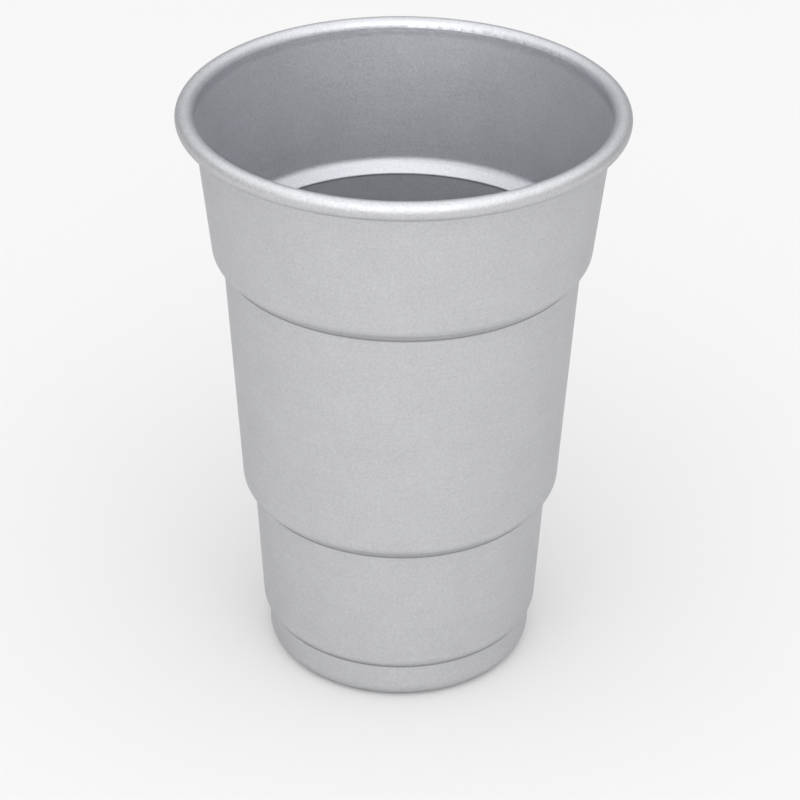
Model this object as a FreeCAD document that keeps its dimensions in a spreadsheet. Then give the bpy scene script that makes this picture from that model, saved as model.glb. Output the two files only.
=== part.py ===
"""Deep drawn metal cup: one piece of thin sheet, stepped and tapered, with a rolled rim.

The cup is a body of revolution. Its section is drawn as the two faces of one sheet: the outside
face, from the middle of the base out and up to the rim, and the inside face, one thickness away
from it all along. +Z is up, and the origin is at the middle of the plane that the cup stands on.
Lengths are in millimetres and angles in degrees.
"""
import FreeCAD, Part
import math
import os
from collections import namedtuple

from FreeCAD import Vector
from Sketcher import Constraint

NODE = "cup"
SHEET = "cup_sizes"

# name: (value, what it is). A radius is that of the sheet's outside face. The middle band, from
# the middle crease to the upper one, takes the height that the other three leave.
SIZES = {
    "thickness": (0.35, "thickness of the sheet"),
    "height": (130.4, "from the ground to the top of the rim"),
    "rim_diameter": (94.0, "across the outside of the rolled rim"),
    "curl_diameter": (3.9, "across the roll itself"),
    "curl_gap": (0.25, "between the rolled edge of the sheet and the wall"),
    "upper_band": (34.65, "height from the upper crease to the top of the rim"),
    "lower_band": (30.85, "height from the lower crease to the middle crease"),
    "foot_band": (8.8, "height from the ground to the lower crease"),
    "upper_taper": (6.2, "lean of the upper wall from upright"),
    "middle_taper": (3.4, "lean of the middle wall from upright"),
    "lower_taper": (3.1, "lean of the lower wall from upright"),
    "foot_taper": (0.5, "lean of the foot's wall from upright"),
    "shoulder_lean": (44.0, "lean of a shoulder's straight part from upright"),
    "upper_slant": (2.2, "length of the upper shoulder's straight part"),
    "middle_slant": (2.4, "length of the middle shoulder's straight part"),
    "lower_slant": (0.6, "length of the lower shoulder's straight part"),
    "shoulder_radius": (2.7, "round at the top of a shoulder"),
    "crease_radius": (0.3, "round in the crease under a shoulder"),
    "base_edge_radius": (3.4, "round between the foot and the base"),
    "ring_width": (1.2, "flat of the ring that the cup stands on"),
    "ring_radius": (1.2, "round on the inner side of the standing ring"),
    "ramp_slope": (45.0, "slope from the standing ring up to the panel"),
    "panel_radius": (1.2, "round at the edge of the raised panel"),
    "panel_rise": (2.0, "height of the raised panel's underside"),
}
BANDS = ("lower", "middle", "upper")

# The sketcher numbers the places on an element from 1 up, and a sketch's own axes from -1 down.
START, END, CENTRE = range(1, 4)
GROUND, CUP_AXIS = range(-1, -3, -1)
ORIGIN = (GROUND, START)
UPRIGHT = 90
FULL_TURN = 360

# A straight run of the sheet: its heading in degrees (0 points away from the cup's axis and 90
# points up), the same as an expression, its length, and the size that rounds the bend after it.
Run = namedtuple("Run", "name heading formula length bend")
# A line or arc of the sketch: its number, and its two ends in the order of the sheet's run.
Element = namedtuple("Element", "number first last")
# A run of the outside face in its place, with the bend that follows it. The side is 1 where the
# sheet bends towards its inside face, and -1 where it bends away.
Stretch = namedtuple("Stretch", "run start end centre radius side next_heading")


def size(name):
    return SIZES[name][0]


def cell(name):
    return f"{SHEET}.{name}"


def add_size_sheet(doc):
    """The driving dimensions: plain numbers in a spreadsheet, each with an alias."""
    sheet = doc.addObject("Spreadsheet::Sheet", SHEET)
    for row, (name, (value, meaning)) in enumerate(SIZES.items(), start=1):
        sheet.set(f"A{row}", name)
        sheet.set(f"B{row}", str(value))
        sheet.set(f"C{row}", meaning)
        sheet.setAlias(f"B{row}", name)
    doc.recompute()


def along(heading):
    return Vector(math.cos(math.radians(heading)), math.sin(math.radians(heading)), 0)


def inward(heading):
    """Square to a heading, from the outside face to the inside face."""
    return along(heading + UPRIGHT)


def bend_side(heading, next_heading):
    return 1 if next_heading > heading else -1


def bend_rise(radius_name, heading, next_heading):
    """Height that the outside face gains in a bend."""
    change = along(heading).x - along(next_heading).x
    return bend_side(heading, next_heading) * size(radius_name) * change


# ---- the outside face as straight runs ----------------------------------------------------------

def upright_run(name, lean, rise, bend):
    heading = UPRIGHT - size(lean)
    formula = f"{UPRIGHT} deg - {cell(lean)} * 1 deg"
    return Run(name, heading, formula, rise / along(heading).y, bend)


def base_runs():
    """Panel, ramp, standing ring and foot. The panel's length waits for the walls above."""
    slope = -size("ramp_slope")
    fall = size("panel_rise")
    fall += bend_rise("panel_radius", 0, slope) + bend_rise("ring_radius", slope, 0)
    foot_rise = size("foot_band") - bend_rise("base_edge_radius", 0, UPRIGHT - size("foot_taper"))
    return [
        Run("panel", 0, None, 0, "panel_radius"),
        Run("ramp", slope, f"-{cell('ramp_slope')} * 1 deg", -fall / along(slope).y, "ring_radius"),
        Run("ring", 0, None, size("ring_width"), "base_edge_radius"),
        upright_run("foot_wall", "foot_taper", foot_rise, "crease_radius"),
    ]


def band_height(band):
    """Height from the crease under a band to the next crease, or to the top of the rim."""
    if band == "middle":
        return size("height") - size("upper_band") - size("lower_band") - size("foot_band")
    return size(f"{band}_band")


def band_runs(band, heading_below):
    """A shoulder and the wall above it, up to the next crease or the rim."""
    shoulder = UPRIGHT - size("shoulder_lean")
    wall = UPRIGHT - size(f"{band}_taper")
    slant_rise = size(f"{band}_slant") * along(shoulder).y
    wall_rise = band_height(band) - slant_rise
    wall_rise -= bend_rise("crease_radius", heading_below, shoulder)
    wall_rise -= bend_rise("shoulder_radius", shoulder, wall)
    if band == BANDS[-1]:
        curl_radius = size("curl_diameter") / 2
        wall_rise -= curl_radius - (curl_radius - size("thickness")) * along(wall).x
    return [
        upright_run(f"{band}_shoulder", "shoulder_lean", slant_rise, "shoulder_radius"),
        upright_run(f"{band}_wall", f"{band}_taper", wall_rise, "crease_radius"),
    ]


def outside_runs():
    runs = base_runs()
    for band in BANDS:
        runs += band_runs(band, runs[-1].heading)
    return runs


# ---- the section, drawn in place and then held by constraints -----------------------------------

def curl_radius():
    """Radius of the sheet's outside face inside the roll."""
    return size("curl_diameter") / 2 - size("thickness")


def curl_turn():
    """How far the sheet turns in the roll, on round until its edge nears the wall."""
    rolled = size("curl_diameter") / 2
    return FULL_TURN - math.degrees(math.acos((curl_radius() - size("curl_gap")) / rolled))


def lay_out(runs):
    """Where each run of the outside face starts and ends, and the bend after it."""
    radii = [size(run.bend) for run in runs[:-1]] + [curl_radius()]
    next_headings = [run.heading for run in runs[1:]] + [runs[-1].heading - curl_turn()]
    point = Vector(0, size("panel_rise"), 0)
    stretches = []
    for run, radius, next_heading in zip(runs, radii, next_headings):
        end = point + along(run.heading) * run.length
        side = bend_side(run.heading, next_heading)
        centre = end + inward(run.heading) * side * radius
        stretches.append(Stretch(run, point, end, centre, radius, side, next_heading))
        point = centre - inward(next_heading) * side * radius
    return stretches


def add_line(sketch, start, end):
    number = sketch.addGeometry(Part.LineSegment(start, end), False)
    return Element(number, (number, START), (number, END))


def add_bend(sketch, stretch, radius):
    """The arc after a run. The sketcher's own arcs all run anticlockwise."""
    headings = (stretch.run.heading, stretch.next_heading)
    angles = sorted(math.radians(heading - stretch.side * UPRIGHT) for heading in headings)
    circle = Part.Circle(stretch.centre, Vector(0, 0, 1), radius)
    number = sketch.addGeometry(Part.ArcOfCircle(circle, *angles), False)
    first, last = (START, END) if stretch.side > 0 else (END, START)
    return Element(number, (number, first), (number, last))


def draw_face(sketch, stretches, offset):
    """A face of the sheet, each element touching the next. Its lines by run, and its bends."""
    lines, bends, chain = {}, [], []
    for stretch in stretches:
        shift = inward(stretch.run.heading) * offset
        line = add_line(sketch, stretch.start + shift, stretch.end + shift)
        bend = add_bend(sketch, stretch, stretch.radius - stretch.side * offset)
        lines[stretch.run.name] = line
        bends.append(bend)
        chain += [line, bend]
    for element, following in zip(chain, chain[1:]):
        sketch.addConstraint(Constraint("Tangent", *element.last, *following.first))
    return lines, bends


def measure(sketch, name, constraint, formula):
    """A dimension of the sketch, bound to the sizes."""
    sketch.renameConstraint(sketch.addConstraint(constraint), name)
    sketch.setExpression(f"Constraints.{name}", formula)


def hold_directions(sketch, runs, outside, inside):
    for line in (outside["panel"], outside["ring"], inside["panel"]):
        sketch.addConstraint(Constraint("Horizontal", line.number))
    for run in runs:
        if run.formula:
            angle = Constraint("Angle", outside[run.name].number, math.radians(run.heading))
            measure(sketch, f"{run.name}_heading", angle, run.formula)


def hold_bends(sketch, stretches, outside, inside):
    """Radii of the outside bends, and of the inside ones round the same centres."""
    formulas = [cell(stretch.run.bend) for stretch in stretches[:-1]]
    formulas.append(f"{cell('curl_diameter')} / 2 - {cell('thickness')}")
    for stretch, formula, outer, inner in zip(stretches, formulas, outside, inside):
        name = stretch.run.name
        sign = "-" if stretch.side > 0 else "+"
        inner_radius = stretch.radius - stretch.side * size("thickness")
        measure(sketch, f"bend_outside_{name}", Constraint("Radius", outer.number, stretch.radius),
                formula)
        measure(sketch, f"bend_inside_{name}", Constraint("Radius", inner.number, inner_radius),
                f"{formula} {sign} {cell('thickness')}")
        sketch.addConstraint(Constraint("Coincident", outer.number, CENTRE, inner.number, CENTRE))


def hold_sizes(sketch, outside, curl):
    """The section's lengths and heights, each between two places of its outside face."""
    def height(name, low, high, rolled=False):
        """Up to the middle of the roll, a height to the top of the rim loses the roll's radius."""
        value = size(name) - rolled * size("curl_diameter") / 2
        formula = f"{cell(name)} - {cell('curl_diameter')} / 2" if rolled else cell(name)
        measure(sketch, name, Constraint("DistanceY", *low, *high, value), formula)

    curl_centre = (curl.number, CENTRE)
    lengths = {"ring": "ring_width"} | {f"{band}_shoulder": f"{band}_slant" for band in BANDS}
    for run, name in lengths.items():
        length = Constraint("Distance", outside[run].number, size(name))
        measure(sketch, name, length, cell(name))
    height("panel_rise", ORIGIN, outside["panel"].first)
    height("foot_band", ORIGIN, outside["foot_wall"].last)
    height("lower_band", outside["foot_wall"].last, outside["lower_wall"].last)
    height("upper_band", outside["middle_wall"].last, curl_centre, rolled=True)
    height("height", ORIGIN, curl_centre, rolled=True)
    reach = (size("rim_diameter") - size("curl_diameter")) / 2
    measure(sketch, "rim_reach", Constraint("DistanceX", *ORIGIN, *curl_centre, reach),
            f"({cell('rim_diameter')} - {cell('curl_diameter')}) / 2")


def close_section(sketch, outside, inside, outside_curl, inside_curl):
    """Close the section on the cup's axis, and across the sheet's edge in the roll."""
    for line in (outside["panel"], inside["panel"]):
        sketch.addConstraint(Constraint("PointOnObject", *line.first, CUP_AXIS))
    sketch.addConstraint(Constraint("PointOnObject", *outside["ring"].first, GROUND))
    ends = [(outside["panel"].first, inside["panel"].first), (outside_curl.last, inside_curl.last)]
    closing = []
    for low, high in ends:
        line = add_line(sketch, sketch.getPoint(*low), sketch.getPoint(*high))
        sketch.addConstraint(Constraint("Coincident", *low, *line.first))
        sketch.addConstraint(Constraint("Coincident", *high, *line.last))
        closing.append(line)
    sheet_edge = closing[-1]
    sketch.addConstraint(Constraint("PointOnObject", outside_curl.number, CENTRE, sheet_edge.number))
    wall = outside[f"{BANDS[-1]}_wall"]
    gap = Constraint("Distance", *inside_curl.last, wall.number, size("curl_gap"))
    measure(sketch, "curl_gap", gap, cell("curl_gap"))


def add_section(body):
    plane = next(item for item in body.Origin.OriginFeatures if item.Role == "XZ_Plane")
    sketch = body.newObject("Sketcher::SketchObject", "section")
    sketch.AttachmentSupport = [(plane, "")]
    sketch.MapMode = "FlatFace"
    runs = outside_runs()
    rolled_radius = size("curl_diameter") / 2
    panel_length = size("rim_diameter") / 2 - rolled_radius - lay_out(runs)[-1].centre.x
    runs[0] = runs[0]._replace(length=panel_length)
    stretches = lay_out(runs)
    outside, outside_bends = draw_face(sketch, stretches, 0)
    inside, inside_bends = draw_face(sketch, stretches, size("thickness"))
    hold_directions(sketch, runs, outside, inside)
    hold_bends(sketch, stretches, outside_bends, inside_bends)
    hold_sizes(sketch, outside, outside_bends[-1])
    close_section(sketch, outside, inside, outside_bends[-1], inside_bends[-1])
    return sketch


def add_cup(doc):
    body = doc.addObject("PartDesign::Body", NODE)
    body.Label = NODE
    sketch = add_section(body)
    doc.recompute()
    form = body.newObject("PartDesign::Revolution", "drawn_sheet")
    form.Profile = sketch
    form.ReferenceAxis = (sketch, ["V_Axis"])
    form.Angle = FULL_TURN
    body.Tip = form
    return body


def check(doc, body, sketch_name):
    """Stop here if anything in the document failed."""
    failed = [item.Name for item in doc.Objects if {"Invalid", "Error"} & set(item.State)]
    if failed:
        raise RuntimeError(f"failed: {failed}")
    shape = body.Shape
    if shape.isNull() or not shape.isValid() or len(shape.Solids) != 1:
        raise RuntimeError(f"{body.Label} is not one valid solid")
    if not doc.getObject(sketch_name).FullyConstrained:
        raise RuntimeError(f"{sketch_name} is not fully constrained")


def main():
    doc = FreeCAD.newDocument("drawn_cup")
    add_size_sheet(doc)
    cup = add_cup(doc)
    doc.recompute()
    check(doc, cup, "section")
    os.makedirs("parts", exist_ok=True)
    cup.Shape.exportStep(f"parts/{cup.Label}.step")
    print(f"{cup.Label}: {cup.Shape.Volume / 1000:.2f} cm3 of sheet")


main()
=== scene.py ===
"""Looks of the deep drawn metal cup: satin aluminium, a pale floor, soft studio light, the camera.

Metres, in the frame of the CAD part: +Z is up, and the origin is at the middle of the plane that
the cup stands on. The cup is the CAD solid itself, and this script only gives it its metal.
"""

import math

import bpy
from mathutils import Matrix, Vector

NODE = "cup"
SLOT = "satin_aluminium"
WHITE = (1.0, 1.0, 1.0, 1.0)

# ---- the camera ---------------------------------------------------------------------------------
CAMERA_AT = (0.0, -0.4958, 0.3580)
CAMERA_AIM = (-0.0002, 0.0, 0.0593)
CAMERA_ROLL_DEG = 0.56
LENS_MM = 119.0
SENSOR_MM = 36.0
CAMERA_CLIP = (0.01, 50.0)

# ---- the studio: a white light tent, brighter overhead ------------------------------------------
FLOOR_SIZE = 12.0
FLOOR_COLOUR = (0.72, 0.72, 0.72, 1.0)
# The tent's brightest direction, the cosines to it between which it rises, and the strengths there.
TENT_BRIGHT_FROM = (0.0, -0.25, 0.968)
TENT_SPREAD = (0.10, 0.70)
TENT_STRENGTH = (0.48, 1.38)

# name: (place, aimed at, width, height, power in watts)
LAMPS = {
    "top_softbox": ((0.0, -1.0, 1.2), (0.0, 0.0, 0.10), 1.6, 1.2, 4.8),
    "front_softbox": ((0.0, -1.5, 0.55), (0.0, 0.0, 0.06), 0.9, 0.7, 1.4),
    "left_softbox": ((-1.1, -1.1, 0.6), (0.0, 0.0, 0.06), 0.9, 0.9, 0.9),
    "right_softbox": ((1.1, -1.1, 0.6), (0.0, 0.0, 0.06), 0.9, 0.9, 0.6),
}

# ---- the metal ----------------------------------------------------------------------------------
METAL_DARK = (0.528, 0.530, 0.544, 1.0)
METAL_LIGHT = (0.640, 0.643, 0.659, 1.0)
# Painted light: a lighter, slightly bluer copy of the metal for faces that look in towards the axis
# or up.
LIT_FACE_DARK = (0.560, 0.570, 0.594, 1.0)
LIT_FACE_LIGHT = (0.680, 0.693, 0.722, 1.0)
# Tint of the reflection near grazing.
EDGE_TINT = (0.62, 0.62, 0.64, 1.0)

# Each noise: scale, detail, roughness. The draw lines run round the cup, because their noise is
# stretched DRAW_STRETCH times along the sheet's section.
GRAIN = (2200.0, 3.0, 0.70)
MOTTLE = (110.0, 5.0, 0.62)
DRAW_LINES = (28.0, 4.0, 0.60)
PITS = (1500.0, 2.0, 0.50)
DRAW_STRETCH = 60.0

# What each noise adds to the tone, and the part of the tone's range that the colours cover.
MOTTLE_SHARE, DRAW_SHARE, GRAIN_SHARE = 0.15, 0.13, 0.72
TONE_RANGE = (0.38, 0.62)
WALL_ROUGH = (0.52, 0.60)

# Heights of the creases under the shoulders, how far the painted shade at each crease reaches each
# way, and how much of its colour shows at its middle.
CREASE_HEIGHTS = (0.0088, 0.03965, 0.09575)
CREASE_SHADE_REACH = 0.00042
CREASE_SHADE_STRENGTH = 0.9
CREASE_SHADE_COLOUR = (0.27, 0.27, 0.28, 1.0)

# The middle of the roll's section: distance from the cup's axis, and height. The roll is 1.95 mm
# from it, and the burnish fades out just past that.
ROLL_RADIUS, ROLL_HEIGHT = 0.04505, 0.12845
ROLL_REACH, ROLL_FADE = 0.0020, 0.0028
RIM_ROUGH = (0.43, 0.52)
PIT_RANGE = (0.35, 0.70)

PIT_RELIEF, DRAW_RELIEF = 1.6, 0.5
RELIEF_STRENGTH = 0.7
RELIEF_DEPTH = 0.000045
# Where the face turns from looking out to looking in or up, where the painted light comes in, and
# the least radius to divide by.
LIT_FACE_TURN = (-0.3, 0.3)
LEAST_RADIUS = 0.0001


def node(tree, kind, **settings):
    """A new node, with its settings. What goes to a socket is set on the socket itself."""
    made = tree.nodes.new(kind)
    for name, value in settings.items():
        setattr(made, name, value)
    return made


def put(made, **values):
    """Constant values of a node's input sockets, by the sockets' names with _ for a space."""
    for name, value in values.items():
        made.inputs[name.replace("_", " ")].default_value = value
    return made


def empty_tree(owner):
    owner.use_nodes = True
    owner.node_tree.nodes.clear()
    return owner.node_tree


def noise(tree, vector, scale, detail, roughness):
    made = put(node(tree, "ShaderNodeTexNoise"), Scale=scale, Detail=detail, Roughness=roughness)
    tree.links.new(vector, made.inputs["Vector"])
    return made.outputs["Fac"]


def remap(tree, value, source, target, kind="LINEAR"):
    made = node(tree, "ShaderNodeMapRange", interpolation_type=kind)
    put(made, From_Min=source[0], From_Max=source[1], To_Min=target[0], To_Max=target[1])
    tree.links.new(value, made.inputs["Value"])
    return made.outputs["Result"]


def math_node(tree, operation, *values):
    """A Math node. Each value is a number or another node's output."""
    made = node(tree, "ShaderNodeMath", operation=operation)
    for socket, value in zip(made.inputs, values):
        if isinstance(value, (int, float)):
            socket.default_value = value
        else:
            tree.links.new(value, socket)
    return made.outputs["Value"]


def hypotenuse(tree, across, up):
    squares = [math_node(tree, "MULTIPLY", side, side) for side in (across, up)]
    return math_node(tree, "SQRT", math_node(tree, "ADD", *squares))


def blend_colours(tree, factor, first, second):
    """A colour from first to second. Each is a constant colour or another node's output."""
    made = node(tree, "ShaderNodeMix", data_type="RGBA")
    tree.links.new(factor, made.inputs["Factor"])
    sockets = [socket for socket in made.inputs if socket.type == "RGBA"]
    for socket, value in zip(sockets, (first, second)):
        if isinstance(value, tuple):
            socket.default_value = value
        else:
            tree.links.new(value, socket)
    return next(socket for socket in made.outputs if socket.type == "RGBA")


def lit_face(tree, x, y, radius):
    """1 where the face looks in towards the axis or up, and 0 where it looks out: the faces that
    get painted light.
    """
    normal = node(tree, "ShaderNodeSeparateXYZ")
    tree.links.new(node(tree, "ShaderNodeNewGeometry").outputs["Normal"], normal.inputs["Vector"])
    outward = math_node(tree, "ADD", math_node(tree, "MULTIPLY", normal.outputs["X"], x),
                                     math_node(tree, "MULTIPLY", normal.outputs["Y"], y))
    outward = math_node(tree, "DIVIDE", outward, math_node(tree, "MAXIMUM", radius, LEAST_RADIUS))
    facing_in_or_up = math_node(tree, "SUBTRACT", normal.outputs["Z"], outward)
    return remap(tree, facing_in_or_up, LIT_FACE_TURN, (0.0, 1.0), "SMOOTHSTEP")


def make_metal():
    """Satin aluminium: a fine blasted grain over faint draw lines, and a burnished rolled rim."""
    metal = bpy.data.materials.new(SLOT)
    tree = empty_tree(metal)
    place = node(tree, "ShaderNodeTexCoord").outputs["Object"]
    axes = node(tree, "ShaderNodeSeparateXYZ")
    tree.links.new(place, axes.inputs["Vector"])
    x, y, z = (axes.outputs[axis] for axis in "XYZ")

    # Distance along the sheet's section, near enough: up the walls and out across the base.
    radius = hypotenuse(tree, x, y)
    section = math_node(tree, "MULTIPLY", math_node(tree, "ADD", radius, z), DRAW_STRETCH)
    ring_place = node(tree, "ShaderNodeCombineXYZ")
    for axis, value in zip("XYZ", (x, y, section)):
        tree.links.new(value, ring_place.inputs[axis])

    grain = noise(tree, place, *GRAIN)
    mottle = noise(tree, place, *MOTTLE)
    draw_lines = noise(tree, ring_place.outputs["Vector"], *DRAW_LINES)
    pits = noise(tree, place, *PITS)

    tone = math_node(tree, "ADD", math_node(tree, "MULTIPLY", mottle, MOTTLE_SHARE),
                     math_node(tree, "MULTIPLY", draw_lines, DRAW_SHARE))
    tone = math_node(tree, "ADD", tone, math_node(tree, "MULTIPLY", grain, GRAIN_SHARE))
    share = remap(tree, tone, TONE_RANGE, (0.0, 1.0))
    # Painted light: faces that look in or up take the lighter copy of the metal.
    colour = blend_colours(tree, lit_face(tree, x, y, radius),
                           blend_colours(tree, share, METAL_DARK, METAL_LIGHT),
                           blend_colours(tree, share, LIT_FACE_DARK, LIT_FACE_LIGHT))
    # Painted shade: a darker band at each crease height, where the concave corner under a shoulder
    # lies in shade.
    for height in CREASE_HEIGHTS:
        away = math_node(tree, "ABSOLUTE", math_node(tree, "SUBTRACT", z, height))
        crease_shade = remap(tree, away, (0.0, CREASE_SHADE_REACH), (CREASE_SHADE_STRENGTH, 0.0), "SMOOTHSTEP")
        colour = blend_colours(tree, crease_shade, colour, CREASE_SHADE_COLOUR)

    from_roll = hypotenuse(tree, math_node(tree, "SUBTRACT", radius, ROLL_RADIUS),
                           math_node(tree, "SUBTRACT", z, ROLL_HEIGHT))
    rim = remap(tree, from_roll, (ROLL_REACH, ROLL_FADE), (1.0, 0.0), "SMOOTHSTEP")
    wall_rough = remap(tree, tone, TONE_RANGE, WALL_ROUGH)
    rim_rough = remap(tree, pits, PIT_RANGE, RIM_ROUGH)
    off_rim = math_node(tree, "SUBTRACT", 1.0, rim)
    rough = math_node(tree, "ADD", math_node(tree, "MULTIPLY", rim, rim_rough),
                      math_node(tree, "MULTIPLY", off_rim, wall_rough))

    rim_pits = math_node(tree, "MULTIPLY", math_node(tree, "MULTIPLY", rim, PIT_RELIEF), pits)
    relief = math_node(tree, "ADD", math_node(tree, "ADD", grain, rim_pits),
                       math_node(tree, "MULTIPLY", draw_lines, DRAW_RELIEF))
    bump = put(node(tree, "ShaderNodeBump"), Strength=RELIEF_STRENGTH, Distance=RELIEF_DEPTH)
    tree.links.new(relief, bump.inputs["Height"])

    shader = put(node(tree, "ShaderNodeBsdfPrincipled"), Metallic=1.0, Specular_Tint=EDGE_TINT)
    tree.links.new(colour, shader.inputs["Base Color"])
    tree.links.new(rough, shader.inputs["Roughness"])
    tree.links.new(bump.outputs["Normal"], shader.inputs["Normal"])
    output = node(tree, "ShaderNodeOutputMaterial")
    tree.links.new(shader.outputs["BSDF"], output.inputs["Surface"])
    return metal


def make_floor():
    material = bpy.data.materials.new("pale_floor")
    tree = empty_tree(material)
    paint = put(node(tree, "ShaderNodeBsdfDiffuse"), Color=FLOOR_COLOUR)
    output = node(tree, "ShaderNodeOutputMaterial")
    tree.links.new(paint.outputs["BSDF"], output.inputs["Surface"])
    bpy.ops.mesh.primitive_plane_add(size=FLOOR_SIZE)
    floor = bpy.context.object
    floor.name = "floor"
    floor.data.materials.append(material)


def make_tent():
    """White all round, and stronger towards the one direction."""
    world = bpy.data.worlds.new("light_tent")
    bpy.context.scene.world = world
    tree = empty_tree(world)
    direction = node(tree, "ShaderNodeTexCoord").outputs["Generated"]
    facing = node(tree, "ShaderNodeVectorMath", operation="DOT_PRODUCT")
    tree.links.new(direction, facing.inputs[0])
    facing.inputs[1].default_value = TENT_BRIGHT_FROM
    strength = remap(tree, facing.outputs["Value"], TENT_SPREAD, TENT_STRENGTH, "SMOOTHSTEP")
    background = put(node(tree, "ShaderNodeBackground"), Color=WHITE)
    tree.links.new(strength, background.inputs["Strength"])
    output = node(tree, "ShaderNodeOutputWorld")
    tree.links.new(background.outputs["Background"], output.inputs["Surface"])


def aim(thing, place, target, roll_deg=0.0):
    """Put a lamp or the camera at a place, looking at a target, and rolled."""
    turn = (Vector(target) - Vector(place)).to_track_quat("-Z", "Y").to_matrix()
    turn = turn @ Matrix.Rotation(math.radians(roll_deg), 3, "Z")
    thing.matrix_world = Matrix.Translation(place) @ turn.to_4x4()


def make_lamps():
    for name, (place, target, width, height, power) in LAMPS.items():
        data = bpy.data.lights.new(name, "AREA")
        data.shape = "RECTANGLE"
        data.size, data.size_y, data.energy = width, height, power
        lamp = bpy.data.objects.new(name, data)
        bpy.context.scene.collection.objects.link(lamp)
        aim(lamp, place, target)


def make_camera():
    data = bpy.data.cameras.new("camera")
    data.lens, data.sensor_width = LENS_MM, SENSOR_MM
    data.clip_start, data.clip_end = CAMERA_CLIP
    camera = bpy.data.objects.new("camera", data)
    bpy.context.scene.collection.objects.link(camera)
    aim(camera, CAMERA_AT, CAMERA_AIM, CAMERA_ROLL_DEG)
    bpy.context.scene.camera = camera


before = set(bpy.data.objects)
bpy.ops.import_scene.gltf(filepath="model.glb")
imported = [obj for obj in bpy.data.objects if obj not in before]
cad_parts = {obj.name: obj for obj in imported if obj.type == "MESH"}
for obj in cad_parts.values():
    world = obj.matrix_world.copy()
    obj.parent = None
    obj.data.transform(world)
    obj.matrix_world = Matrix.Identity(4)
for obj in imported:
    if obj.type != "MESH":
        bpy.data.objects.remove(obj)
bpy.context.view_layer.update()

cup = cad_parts[NODE]
metal = make_metal()
for material_slot in cup.material_slots:
    material_slot.material = metal

make_floor()
make_tent()
make_lamps()
make_camera()
bpy.context.scene.view_settings.view_transform = "Standard"
